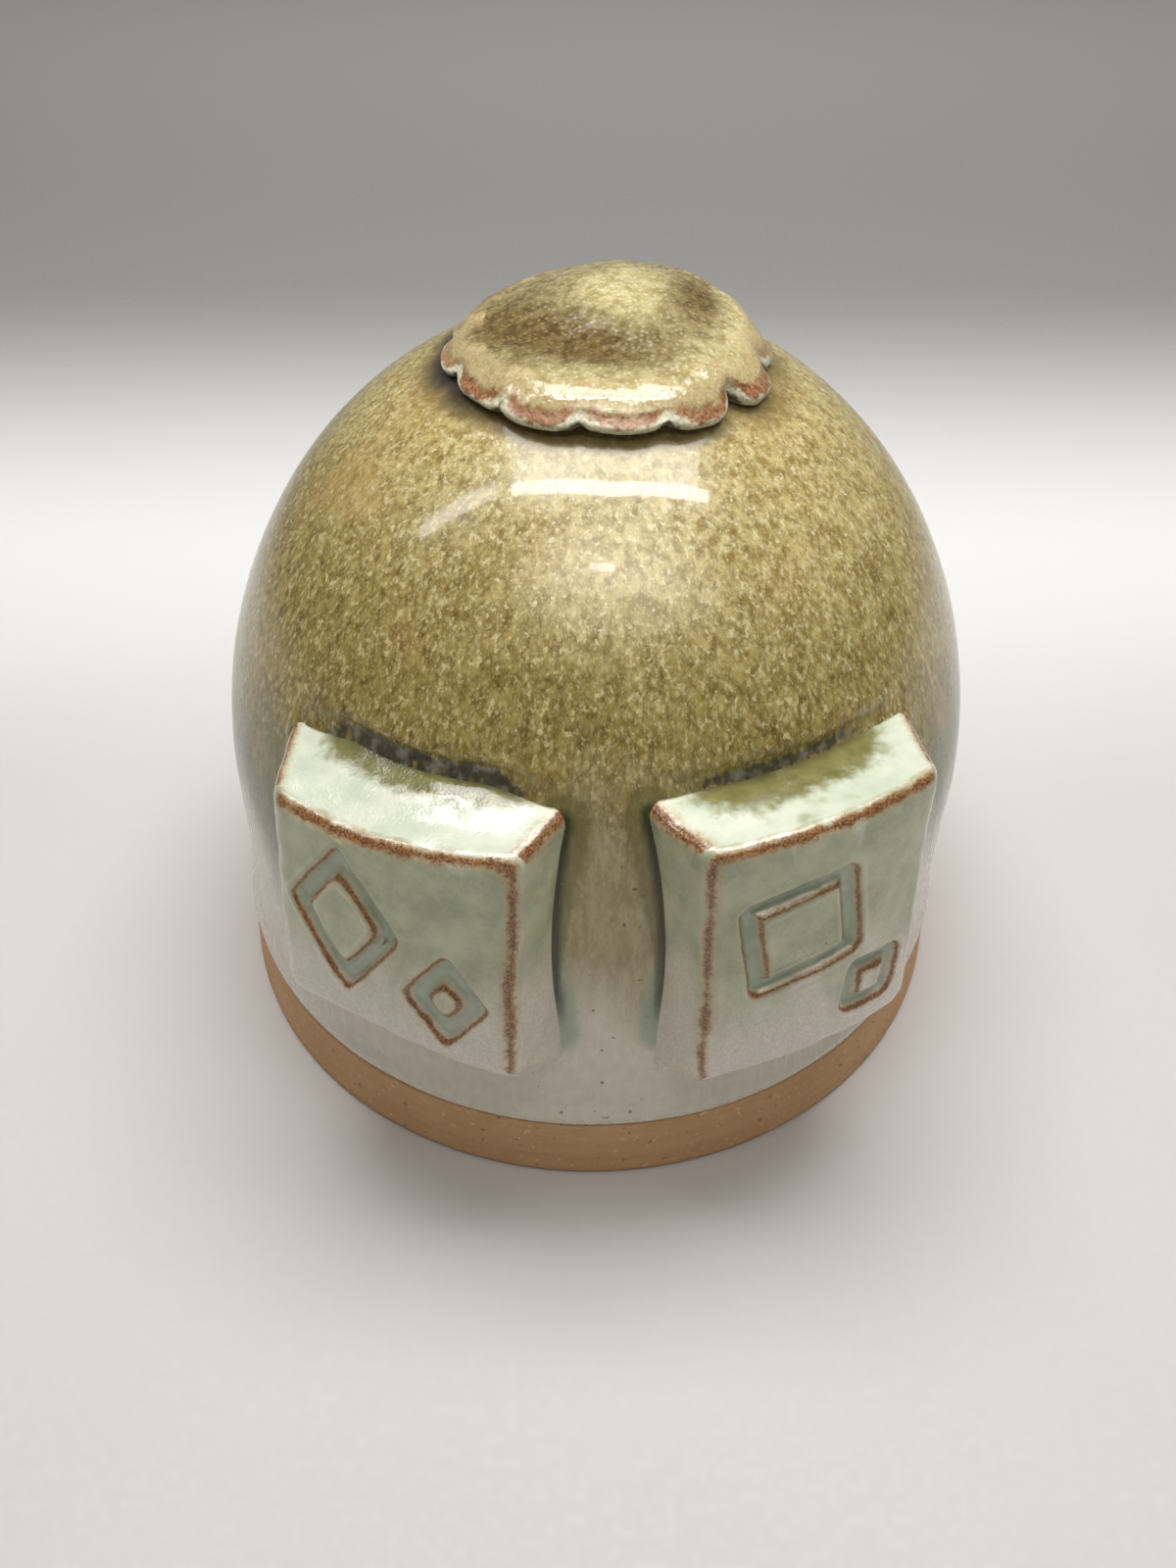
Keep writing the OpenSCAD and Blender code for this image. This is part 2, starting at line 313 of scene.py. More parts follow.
class Shader:
    """A procedural material, built one call at a time. Values are numbers, colours or other sockets."""

    def __init__(self, name):
        self.material = bpy.data.materials.new(name)
        self.material.use_nodes = True
        self.tree = self.material.node_tree
        self.surface = self.tree.nodes["Principled BSDF"]

    def put(self, socket, value):
        """Links a socket to another one, or sets its value."""
        if isinstance(value, bpy.types.NodeSocket):
            self.tree.links.new(value, socket)
        else:
            socket.default_value = value

    def add(self, kind, inputs, **settings):
        """A new node with its inputs and settings."""
        made = self.tree.nodes.new(kind)
        for key, value in settings.items():
            setattr(made, key, value)
        for key, value in inputs.items():
            self.put(made.inputs[key], value)
        return made

    def place(self, stretch=(1, 1, 1)):
        """The point's place in the frame in millimetres, scaled along X, Y and Z."""
        coordinates = self.add("ShaderNodeTexCoord", {}).outputs["Object"]
        scale = [s / MM for s in stretch]
        return self.add("ShaderNodeVectorMath", {0: coordinates, 1: scale}, operation="MULTIPLY").outputs[0]

    def height(self):
        return self.add("ShaderNodeSeparateXYZ", {0: self.place()}).outputs["Z"]

    def attribute(self, name):
        return self.add("ShaderNodeAttribute", {}, attribute_name=name).outputs["Fac"]

    def grain(self, place, size, detail=2.0, roughness=0.5):
        """Noise from 0 to 1 with features of about that size in millimetres."""
        inputs = {"Vector": place, "Scale": 1 / size, "Detail": detail, "Roughness": roughness}
        return self.add("ShaderNodeTexNoise", inputs).outputs["Fac"]

    def stir(self, place, size, reach):
        """The place, pushed about by noise of that size, to break up even shapes."""
        swirl = self.add("ShaderNodeTexNoise", {"Vector": place, "Scale": 1 / size}).outputs["Color"]
        inputs = {0: swirl, 1: [2 * reach] * 3, 2: place}
        return self.add("ShaderNodeVectorMath", inputs, operation="MULTIPLY_ADD").outputs[0]

    def grains(self, place, spacing, wide, narrow):
        """Single grains about that far apart: 0 beyond wide of a grain's middle, 1 within narrow of it."""
        inputs = {"Vector": place, "Scale": 1 / spacing}
        far = self.add("ShaderNodeTexVoronoi", inputs).outputs["Distance"]
        return self.rise(far, wide, narrow)

    def calc(self, operation, a, b=0.0, c=0.0):
        return self.add("ShaderNodeMath", {0: a, 1: b, 2: c}, operation=operation).outputs[0]

    def spread(self, value, reach):
        """Noise that was 0 to 1, as -reach to reach."""
        return self.calc("MULTIPLY_ADD", value, 2 * reach, -reach)

    def rise(self, value, low, high, top=1.0):
        """0 at low, top at high, smooth between and flat beyond. It falls where low is above high."""
        inputs = {"Value": value, "From Min": low, "From Max": high, "To Max": top}
        return self.add("ShaderNodeMapRange", inputs, interpolation_type="SMOOTHSTEP").outputs[0]

    def mix(self, share, a, b):
        """Colour a where the share is 0 and colour b where it is 1."""
        made = self.add("ShaderNodeMix", {"Factor": share}, data_type="RGBA")
        self.put(made.inputs[MIX_A], a)
        self.put(made.inputs[MIX_B], b)
        return made.outputs[MIX_RESULT]

    def finish(self, colour, roughness, relief, depth, **constants):
        """Sets the surface. Relief is 0 to 1 and depth is what it stands for, in millimetres."""
        bump = self.add("ShaderNodeBump", {"Height": relief, "Distance": depth * MM, "Strength": 1.0})
        self.put(self.surface.inputs["Base Color"], colour)
        self.put(self.surface.inputs["Roughness"], roughness)
        self.put(self.surface.inputs["Normal"], bump.outputs[0])
        for key, value in constants.items():
            self.surface.inputs[key.replace("_", " ")].default_value = value
        return self.material


def dome_flecks(sh, place):
    """Soft mottling of the dome's glaze, and the cream flecks in it that are drawn out down the wall."""
    flow = sh.stir(sh.place((1, 1, 0.22)), 0.3, 0.12)
    soft = sh.rise(sh.grain(flow, 1.0, 5, 0.7), 0.32, 0.68)
    dense = sh.rise(sh.grain(place, 4, 3), 0.3, 0.62)
    large = sh.calc("MULTIPLY", sh.grains(flow, 0.62, 0.45, 0.15), dense)
    small = sh.grains(flow, 0.32, 0.45, 0.15)
    flecks = sh.calc("MAXIMUM", sh.calc("MULTIPLY", large, 0.6), sh.calc("MULTIPLY", small, 0.35))
    drawn_out = sh.stir(sh.place((1, 1, 0.4)), 0.3, 0.12)
    dashes = sh.rise(sh.grain(drawn_out, 0.55, 4, 0.65), 0.53, 0.66, 0.85)
    return soft, sh.calc("MAXIMUM", flecks, dashes)


def dome_top(sh, place, zone, soft, flecks):
    """Olive, paler to the right and towards the crown (partly thinner glaze, partly painted light from
    above), with warm patches and painted glints.
    """
    drawn = sh.rise(sh.grain(sh.place((1, 1, 0.16)), 0.55, 3, 0.6), 0.35, 0.7)
    # Painted glints: tiny bright dots that stand in for light caught by the glaze.
    painted_glints = sh.rise(sh.grain(place, 0.2, 1), 0.7, 0.78, 0.5)
    warm = sh.rise(sh.grain(place, 12, 1), 0.56, 0.76, 0.35)
    olive = sh.mix(soft, tint(102, 80, 24), tint(165, 144, 72))
    olive = sh.mix(sh.calc("MULTIPLY", drawn, 0.45), olive, tint(178, 162, 102))
    olive = sh.mix(flecks, olive, tint(224, 209, 152))
    # Pale glaze towards the crown and to the right; towards the crown it is partly painted light from above.
    pale = sh.mix(soft, tint(146, 122, 58), tint(212, 193, 128))
    pale = sh.mix(flecks, pale, tint(234, 223, 180))
    across = sh.add("ShaderNodeSeparateXYZ", {0: place}).outputs["X"]
    top = sh.mix(sh.rise(sh.calc("MULTIPLY_ADD", across, 0.2, zone), 54, 76), olive, pale)
    top = sh.mix(warm, top, tint(192, 152, 92))
    return sh.mix(painted_glints, top, tint(238, 226, 178))


def dome_bands(sh, place, soft, flecks):
    """Colours by height: olive, then green, then grey-white, with pitted grey-green between the tiles."""
    streaks = sh.grain(sh.place((1, 1, 0.1)), 4, 3)
    zone = sh.calc("ADD", sh.height(), sh.spread(streaks, 7))
    zone = sh.calc("ADD", zone, sh.spread(sh.grain(place, 16), 5))
    green = sh.mix(soft, tint(92, 94, 54), tint(126, 128, 84))
    green = sh.mix(sh.calc("MULTIPLY", flecks, 0.4), green, tint(158, 164, 124))
    white = sh.mix(sh.grain(place, 1.5, 3), tint(208, 200, 182), tint(230, 223, 206))
    low = sh.mix(sh.rise(zone, 22, 36), white, green)
    colour = sh.mix(sh.rise(zone, 38, 50), low, dome_top(sh, place, zone, soft, flecks))

    dust = sh.mix(soft, tint(152, 140, 98), tint(184, 171, 130))
    dust = sh.mix(sh.calc("MULTIPLY", flecks, 0.6), dust, tint(196, 184, 150))
    dust = sh.mix(sh.rise(zone, 24, 36), white, dust)
    dust_share = sh.calc("MULTIPLY", sh.attribute("between"), sh.rise(zone, 56, 45))
    colour = sh.mix(dust_share, colour, dust)
    pits = sh.rise(sh.grain(place, 0.8, 0), 0.8, 0.84, 0.7)
    return sh.mix(sh.calc("MULTIPLY", dust_share, pits), colour, tint(96, 60, 34))


def dome_runs(sh, place, colour):
    """Runs, drips and stains along the tiles with painted shade in the furrow, and glaze pooled round the cap
    with painted shade under its rim, over a colour.
    """
    ragged = sh.spread(sh.grain(place, 0.8, 3), 0.5)
    run = sh.calc("ADD", sh.attribute("run"), sh.calc("MULTIPLY", ragged, 0.5))
    colour = sh.mix(sh.rise(run, 0.15, 0.85, 0.7), colour, tint(116, 108, 58))
    drip = sh.calc("ADD", sh.attribute("drip"), sh.calc("MULTIPLY", ragged, 0.4))
    colour = sh.mix(sh.rise(drip, 0.1, 0.9, 0.75), colour, tint(150, 166, 138))
    colour = sh.mix(sh.attribute("seam"), colour, tint(60, 57, 32))

    # Glaze pooled round the cap and painted shade under its rim, darkest at the rim's foot; the left part is
    # darker still.
    pool_and_shade = sh.calc("ADD", sh.attribute("pool_and_shade"), sh.calc("MULTIPLY", ragged, 0.4))
    pool_and_shade_tone = sh.mix(sh.attribute("shade"), tint(124, 104, 58), tint(66, 58, 48))
    colour = sh.mix(sh.rise(pool_and_shade, 0.05, 1.0), colour, pool_and_shade_tone)

    # The furrow above the tiles: dark grey that is partly stained glaze and partly painted shade, with
    # painted glints.
    feather = sh.spread(sh.grain(sh.place((1, 1, 0.3)), 0.7, 3), 0.9)
    crevice = sh.calc("ADD", sh.attribute("crevice"), feather)
    glint = sh.rise(sh.grain(place, 1.6, 3), 0.45, 0.7)
    crevice_tone = sh.mix(glint, tint(76, 73, 62), tint(160, 156, 142))
    return sh.mix(sh.rise(crevice, 0.3, 0.9, 0.9), colour, crevice_tone)


def dome_glaze():
    """Olive glaze, speckled cream, that thins to green and grey-white low on the wall."""
    sh = Shader("dome_glaze")
    place = sh.place()
    soft, flecks = dome_flecks(sh, place)
    colour = dome_runs(sh, place, dome_bands(sh, place, soft, flecks))
    roughness = sh.calc("ADD", sh.rise(soft, 0.0, 1.0, 0.1), 0.2)
    relief = sh.calc("MULTIPLY_ADD", flecks, 0.1, sh.grain(place, 5, 4, 0.5))
    return sh.finish(
        colour, roughness, relief, 0.1,
        Specular_IOR_Level=0.3, Coat_Weight=0.35, Coat_Roughness=0.05,
    )


def cap_glaze():
    """The same glaze on the cap: dark in the thumb print and cream on the mound, partly as painted shade and
    highlight, rust and white at the rim, and painted shade under it.
    """
    sh = Shader("cap_glaze")
    place = sh.place()
    stirred = sh.stir(place, 0.4, 0.2)
    soft = sh.rise(sh.grain(stirred, 1.2, 5, 0.7), 0.34, 0.66)
    flecks = sh.calc("MULTIPLY", sh.grains(stirred, 0.55, 0.5, 0.1), 0.75)
    fine = sh.rise(sh.grain(place, 0.3, 3), 0.3, 0.7)
    ragged = sh.spread(sh.grain(place, 0.9, 4), 0.2)

    cream = sh.mix(soft, tint(178, 160, 102), tint(224, 211, 158))
    cream = sh.mix(flecks, cream, tint(238, 231, 194))
    dark = sh.mix(soft, tint(84, 65, 30), tint(128, 106, 58))
    dark = sh.mix(sh.calc("MULTIPLY", flecks, 0.55), dark, tint(178, 160, 106))
    # Dark in the thumb print and on the slopes, partly darker glaze and partly painted shade; cream in the
    # middle, partly a painted highlight.
    hollow = sh.calc("ADD", sh.attribute("hollow"), sh.spread(sh.grain(place, 2.5, 4), 0.3))
    colour = sh.mix(sh.rise(hollow, -0.1, 1.1), cream, dark)

    rim = sh.calc("ADD", sh.attribute("rim"), ragged)
    lip_cream = sh.mix(fine, tint(184, 160, 110), tint(216, 196, 148))
    rust = sh.mix(fine, tint(122, 76, 42), tint(192, 136, 88))
    roll = sh.mix(fine, tint(190, 184, 150), tint(230, 224, 198))
    colour = sh.mix(sh.rise(rim, 0.08, 0.4, 0.8), colour, lip_cream)
    rust_share = sh.calc("MULTIPLY", sh.rise(rim, 0.52, 0.68), sh.attribute("lobe"))
    colour = sh.mix(rust_share, colour, rust)
    colour = sh.mix(sh.rise(rim, 0.81, 0.89), colour, roll)
    # Painted shade on the underside, under the rim.
    colour = sh.mix(sh.rise(rim, 1.02, 1.15), colour, tint(80, 72, 52))

    roughness = sh.calc("MULTIPLY_ADD", rust_share, 0.25, sh.calc("MULTIPLY_ADD", soft, 0.1, 0.08))
    roughness = sh.calc("ADD", roughness, sh.rise(hollow, 0.0, 0.8, 0.1))
    relief = sh.calc("MULTIPLY_ADD", flecks, 0.25, sh.grain(place, 2.5, 4, 0.55))
    return sh.finish(colour, roughness, relief, 0.08, Coat_Weight=0.15, Coat_Roughness=0.08)


def tile_body(sh, place, fine):
    """Celadon, white where it ran thick low down, pale on top (partly the glaze, partly painted light) and
    pooled in the pressed channels.
    """
    cloud = sh.rise(sh.grain(place, 4.5, 4, 0.6), 0.3, 0.7)
    celadon = sh.mix(cloud, tint(162, 170, 136), tint(202, 202, 168))
    celadon = sh.mix(sh.calc("MULTIPLY", fine, 0.22), celadon, tint(210, 209, 180))
    white = sh.mix(fine, tint(212, 203, 186), tint(230, 222, 206))
    drips = sh.spread(sh.grain(sh.place((1, 1, 0.3)), 2.6, 3), 0.3)
    fall = sh.calc("ADD", sh.attribute("fall"), drips)
    colour = sh.mix(sh.rise(fall, 0.45, 0.9), celadon, white)
    # The pale top is partly the glaze's own colour and partly painted light falling on it.
    upper = sh.mix(cloud, tint(202, 211, 186), tint(226, 228, 208))
    colour = sh.mix(sh.rise(fall, 0.02, -0.1), colour, upper)
    pooled = sh.mix(cloud, tint(146, 162, 136), tint(190, 198, 174))
    return sh.mix(sh.rise(sh.attribute("press"), 0.1, 0.6, 0.8), colour, pooled)


def tile_seams(sh, place, patchy, colour):
    """Olive glaze over the back of the top, the dark crevice behind it (partly dark glaze, partly painted
    shade, with painted glints) and painted shade below the tile, over a colour.
    """
    back = sh.calc("ADD", sh.attribute("back"), sh.spread(sh.grain(place, 1.2, 4), 0.35))
    mossy = sh.mix(sh.grain(place, 1.5, 4, 0.6), tint(82, 78, 34), tint(158, 154, 98))
    colour = sh.mix(sh.rise(back, 0.15, 0.6), colour, mossy)
    # Crevice behind the top: partly dark glaze, partly painted shade, with painted glints.
    crevice = sh.calc("ADD", sh.attribute("crevice"), sh.spread(sh.grain(place, 0.8, 3), 0.4))
    glint = sh.rise(sh.grain(place, 1.2, 5, 0.6), 0.4, 0.7)
    crevice_tone = sh.mix(glint, tint(70, 67, 58), tint(160, 154, 146))
    colour = sh.mix(sh.rise(crevice, 0.3, 0.8), colour, crevice_tone)
    # Painted shade where the tile's bottom meets the dome.
    joint = sh.calc("ADD", sh.attribute("joint"), sh.calc("MULTIPLY", patchy, 0.5))
    return sh.mix(sh.rise(joint, 0.3, 0.8, 0.85), colour, tint(92, 80, 66))


def tile_rust(sh, place, patchy, colour):
    """Rust where the glaze broke thin, at the edges and along the channels, over a colour."""
    specks = sh.rise(sh.grain(place, 0.22, 3, 0.7), 0.4, 0.62)
    ragged = sh.spread(sh.grain(place, 0.45, 4, 0.7), 0.5)
    haze = tint(200, 162, 116)
    rust = sh.mix(specks, tint(90, 55, 27), tint(174, 119, 70))
    edge = sh.calc("ADD", sh.attribute("edge"), sh.calc("ADD", ragged, patchy))
    colour = sh.mix(sh.rise(edge, 1.0, 0.3, 0.6), colour, haze)
    colour = sh.mix(sh.rise(edge, 0.6, 0.12, 0.95), colour, rust)
    stroke = sh.calc("ABSOLUTE", sh.attribute("press"))
    stroke = sh.calc("ADD", stroke, sh.calc("MULTIPLY", ragged, 0.4))
    stroke = sh.calc("ADD", stroke, sh.calc("MULTIPLY", patchy, 0.3))
    colour = sh.mix(sh.rise(stroke, 0.42, 0.15, 0.6), colour, haze)
    return sh.mix(sh.rise(stroke, 0.24, 0.08, 0.9), colour, rust)


def tile_glaze():
    """Celadon over the tiles, with olive run over their tops and rust at their edges."""
    sh = Shader("tile_glaze")
    place = sh.place()
    fine = sh.rise(sh.grain(place, 0.3, 3), 0.3, 0.7)
    patchy = sh.spread(sh.grain(place, 2.4, 3), 0.45)
    colour = tile_body(sh, place, fine)
    colour = tile_seams(sh, place, patchy, colour)
    colour = tile_rust(sh, place, patchy, colour)
    roughness = sh.calc("ADD", sh.rise(fine, 0.0, 1.0, 0.1), 0.06)
    relief = sh.calc("MULTIPLY_ADD", fine, 0.12, sh.grain(place, 3, 4, 0.5))
    return sh.finish(colour, roughness, relief, 0.12, Coat_Weight=0.3, Coat_Roughness=0.04)


def bare_clay(name, dark, light):
    """Unglazed stoneware: matte, with pale and dark grog and faint throwing rings."""
    sh = Shader(name)
    place = sh.place()
    cloud = sh.grain(place, 9, 3)
    fine = sh.grain(place, 0.4, 3)
    rings = sh.grain(sh.place((0.05, 0.05, 1)), 0.8, 3)
    colour = sh.mix(cloud, dark, light)
    colour = sh.mix(sh.rise(rings, 0.35, 0.75, 0.35), colour, dark)
    colour = sh.mix(sh.rise(sh.grain(place, 0.7, 1), 0.66, 0.72, 0.7), colour, tint(224, 192, 152))
    colour = sh.mix(sh.rise(sh.grain(place, 0.9, 1), 0.3, 0.25, 0.6), colour, tint(116, 78, 48))
    roughness = sh.calc("MULTIPLY_ADD", fine, 0.2, 0.6)
    relief = sh.calc("MULTIPLY_ADD", rings, 0.5, fine)
    return sh.finish(colour, roughness, relief, 0.12)


def dry_slip():
    """Dark slip that bonds the pieces, with a fine crumbly surface."""
    sh = Shader("dry_slip")
    place = sh.place()
    lumps = sh.grain(place, 0.8, 4, 0.6)
    colour = sh.mix(lumps, tint(70, 64, 54), tint(132, 122, 104))
    return sh.finish(colour, sh.calc("MULTIPLY_ADD", lumps, 0.2, 0.6), lumps, 0.2)


Seam = namedtuple("Seam", "points a b top outer")


class Tile:
    """A slab in its own frame: X to the right, Z up, face at y = 0 and the dome along +Y.

    Its heights are those of the face's left and right edges, and its height is where the face's middle is.
    Its outer side is -1 for left and 1 for right. Turn, tilt and draft are in degrees. Moss is how far olive
    glaze reaches over its top, and lip is how far the top's back edge is drawn up."""

    def __init__(self, width, heights, height, turn, tilt, outer, top_draft, moss, lip):
        self.width = width
        self.heights = heights
        self.height = height
        self.turn = math.radians(turn)
        self.tilt = [math.radians(t) for t in tilt]
        self.outer = outer
        self.top_draft = math.tan(math.radians(top_draft))
        self.moss = moss
        self.lip = lip

    def at(self, a, b, y):
        """The local point at shares a and b of the half width and half height, at depth y."""
        even = max(self.heights)
        draft = np.where(b > 0, self.top_draft, BOTTOM_DRAFT)
        spread = np.where(a * self.outer > 0, OUTER_DRAFT, INNER_DRAFT)
        left, right = [h / 2 + y * (draft + (even - h) / 2 / EVEN_DEPTH) for h in self.heights]
        half = left + (right - left) * (a + 1) / 2
        return np.stack([a * (self.width / 2 + y * spread), y + 0 * a, b * half], axis=-1)

    def stand(self, points):
        """Local points as points of the upright thrown form."""
        x, y, z = np.moveaxis(points, -1, 0)
        back, roll = -self.tilt[0], -self.tilt[1]
        y, z = y * math.cos(back) - z * math.sin(back), y * math.sin(back) + z * math.cos(back)
        x, z = x * math.cos(roll) + z * math.sin(roll), z * math.cos(roll) - x * math.sin(roll)
        y, z = y - TILE_FACE_R, z + self.height
        return np.stack([
            x * math.cos(self.turn) - y * math.sin(self.turn),
            x * math.sin(self.turn) + y * math.cos(self.turn),
            z,
        ], axis=-1)

    def depth_at_wall(self, a, b, gap):
        """The depth at which the slab's lines reach that gap from the wall, by halving."""
        near, deep = np.zeros_like(a), np.full_like(a, SLAB_DEPTH)
        for _ in range(HALVINGS):
            middle = (near + deep) / 2
            outside = wall_gap(self.stand(self.at(a, b, middle))) > gap
            near, deep = np.where(outside, middle, near), np.where(outside, deep, middle)
        return near

    def outline(self):
        """Shares a and b, and the length along the edge to the nearest corner, round the slab's rim."""
        half_w, half_h = self.width / 2, sum(self.heights) / 4
        straight = np.array([2 * (half_h - CORNER_ROUND), 2 * (half_w - CORNER_ROUND)] * 2)
        arc = CORNER_ROUND * math.pi / 2
        travel = np.linspace(0, straight.sum() + 4 * arc, TILE_COLUMNS, endpoint=False)
        points, corner_gap = [], []
        centres = [(1, 1), (-1, 1), (-1, -1), (1, -1)]
        for t in travel:
            side = 0
            while t >= straight[side] + arc:
                t -= straight[side] + arc
                side += 1
            along = min(t, straight[side])
            bend = (t - along) / CORNER_ROUND
            cx, cz = centres[side]
            middle = np.array([cx * (half_w - CORNER_ROUND), cz * (half_h - CORNER_ROUND)])
            heading = side * math.pi / 2
            out = np.array([math.cos(heading + bend), math.sin(heading + bend)])
            ahead = np.array([-math.sin(heading), math.cos(heading)])
            points.append(middle + CORNER_ROUND * out - ahead * (straight[side] - along))
            corner_gap.append(min(t + arc / 2, abs(straight[side] + arc / 2 - t)))
        points = np.array(points)
        return points[:, 0] / half_w, points[:, 1] / half_h, np.array(corner_gap)


def bow(x):
    """How far the bowed face lies behind its middle."""
    return TILE_BOW_R - np.sqrt(TILE_BOW_R ** 2 - x ** 2)


def soft_size(v):
    """The size of v with its point at 0 rounded off, for soft corners."""
    return np.sqrt(v * v + LOZENGE_SOFTNESS) - LOZENGE_CUT


def lozenge_depth(x, z, at, size):
    """How far points are inside a lozenge's outline."""
    half_x, half_z = size[0] / 2, size[1] / 2
    share = soft_size(x - at[0]) / half_x + soft_size(z - at[1]) / half_z
    return (1 - share) * half_x * half_z / math.hypot(half_x, half_z)


def square_depth(x, z, at, size, turn):
    """How far points are inside a square's outline."""
    turn = math.radians(turn)
    across = (x - at[0]) * math.cos(turn) + (z - at[1]) * math.sin(turn)
    up = (z - at[1]) * math.cos(turn) - (x - at[0]) * math.sin(turn)
    far = np.stack([np.abs(across), np.abs(up)]) - size / 2 + SQUARE_ROUND
    return SQUARE_ROUND - np.hypot(*np.maximum(far, 0)) - np.minimum(far.max(axis=0), 0)


def channel(depths):
    """How far points are inside the nearest channel, which follows an outline on its inner side."""
    return np.max([PRESS_W / 2 - np.abs(d - PRESS_W / 2) for d in depths], axis=0)


def left_channel(x, z):
    return channel([lozenge_depth(x, z, *lozenge) for lozenge in LOZENGES])


def right_channel(x, z):
    return channel([square_depth(x, z, *square) for square in SQUARES])


def tile_rows(tile, a, b, seam_y):
    """Rows of a tile's glazed skin from the middle of its face to its seam with the dome.

    Each row has local points, the length to the front edge, the depth left to the seam, and 1 on the face."""
    reach = min(tile.width, min(tile.heights)) / 2
    flat_share = 1 - EDGE_ROUND / reach
    rows = []
    for share in np.linspace(0, flat_share, FACE_ROWS + 1)[1:]:
        y = bow(share * a * tile.width / 2)
        to_edge = reach * (1 - share) - EDGE_ROUND * (1 - math.pi / 4)
        rows.append((tile.at(share * a, share * b, y), to_edge, seam_y - y, 1))
    for bend in np.linspace(0, math.pi / 2, BEND_ROWS + 1)[1:]:
        share = 1 - EDGE_ROUND / reach * (1 - math.sin(bend))
        y = bow(share * a * tile.width / 2) + EDGE_ROUND * (1 - math.cos(bend))
        rows.append((tile.at(share * a, share * b, y), EDGE_ROUND * abs(bend - math.pi / 4), seam_y - y, 1))
    start = bow(a * tile.width / 2) + EDGE_ROUND
    for share in np.linspace(0, 1, SIDE_ROWS + 1)[1:]:
        y = start + (seam_y - start) * share
        rows.append((tile.at(a, b, y), y - start + EDGE_ROUND * math.pi / 4, seam_y - y, 0))
    points = np.array([row[0] for row in rows])
    edge, back, face = [np.array([np.broadcast_to(row[k], a.shape) for row in rows]) for k in (1, 2, 3)]
    return points, edge, back, face


def rust_length(tile, outline, edge, face):
    """The length to a sharp edge of the slab, made longer where less rust shows."""
    a, b, corner_gap = outline
    outer = a * tile.outer > 0
    level = np.abs(b) > np.abs(a)
    side_rust = np.where(level, np.where(b > 0, 0.0, 0.9), np.where(outer, 0.45, 0.1))
    corner_rust = 0.7 * corner_gap + np.where(b > 0, np.where(outer, 0.15, 0.0), 0.9)
    return np.minimum(edge + side_rust, np.where(face > 0, SLAB_DEPTH, corner_rust))


def tile_back(tile, a, b):
    """Rings of the slab's hollow back, which lies on its slip, and the middle of that back."""
    rings = []
    for share in np.linspace(1 - SLIP_SETBACK / tile.width * 2, 0.1, BACK_ROWS):
        depth = tile.depth_at_wall(share * a, share * b, SLIP_T + SLIP_PLAY)
        rings.append(tile.at(share * a, share * b, depth))
    middle = np.zeros(1)
    return np.array(rings), tile.at(middle, middle, tile.depth_at_wall(middle, middle, SLIP_T + SLIP_PLAY))


def build_tile(name, tile, pressed, material, seed):
    """Makes a tile's piece and returns its seam on the upright thrown form."""
    outline = tile.outline()
    a, b, corner_gap = outline
    top = rise(b, 0.9, 1.0) * rise(corner_gap, 0.5, 7.0)
    seam_y = tile.depth_at_wall(a, b, -SEAM_BITE - FURROW_BITE * top)
    local, edge, back, face = tile_rows(tile, a, b, seam_y)
    # Where the top's back edge meets the dome, for the crevice's dark glaze and painted shade.
    crevice = rise(back, 1.1, 0.1) * top * (1 - face)
    local[..., 2] += tile.lip * rise(back, 5.0, 0.5) * top * (1 - face)
    depth = np.where(face > 0, pressed(local[..., 0], local[..., 2]), -PRESS_W)
    local[..., 1] += PRESS_H * rise(depth, -0.25, 0.7) - RIDGE_H * rise(np.abs(depth + 0.5), 0.5, 0.0)

    skin = tile.stand(local)
    loose = rise(back, 0.2, 1.6)[..., None]
    for size, reach in TILE_LUMPS:
        skin = skin + loose * reach * push(skin.reshape(-1, 3), size, seed).reshape(skin.shape)
    hollow, back_tip = tile_back(tile, a, b)
    rings = np.concatenate([skin, tile.stand(hollow)])
    tips = np.concatenate([np.zeros((1, 3)), back_tip])
    made = loft(leaning(rings), leaning(tile.stand(tips)))

    edge = rust_length(tile, outline, edge, face)
    fall = (tile.heights[0] / 2 - local[..., 2]) / tile.heights[0]
    fall = fall - 0.12 * (1 - face) * rise(b, 0.8, 1.0)
    fall = fall + 0.15 * (1 - face) * (np.abs(a) > np.abs(b))
    moss = rise(back, tile.moss, 0.4) * top * (1 - face)
    # Where the bottom meets the dome, for the painted shade there.
    joint = rise(back, 0.8, 0.25) * rise(-b, 0.85, 0.95) * (1 - face)

    def filled(values, rest):
        return np.concatenate([values.reshape(-1), np.full(len(made[0]) - values.size, rest)])

    add_piece(
        name, made, material, "celadon_glaze", name.replace("_slab", "_tile"),
        edge=filled(edge, SLAB_DEPTH), press=filled(depth, -PRESS_W), fall=filled(fall, 0.5),
        back=filled(moss, 0), crevice=filled(crevice, 1), joint=filled(joint, 1),
    )
    return Seam(skin[-1], a, b, top, tile.outer)


def nearest(points, targets):
    """Distance from each point to the nearest of the targets."""
    far = np.full(len(points), np.inf)
    for target in targets:
        far = np.minimum(far, np.sum((points - target) ** 2, axis=1))
    return np.sqrt(far)


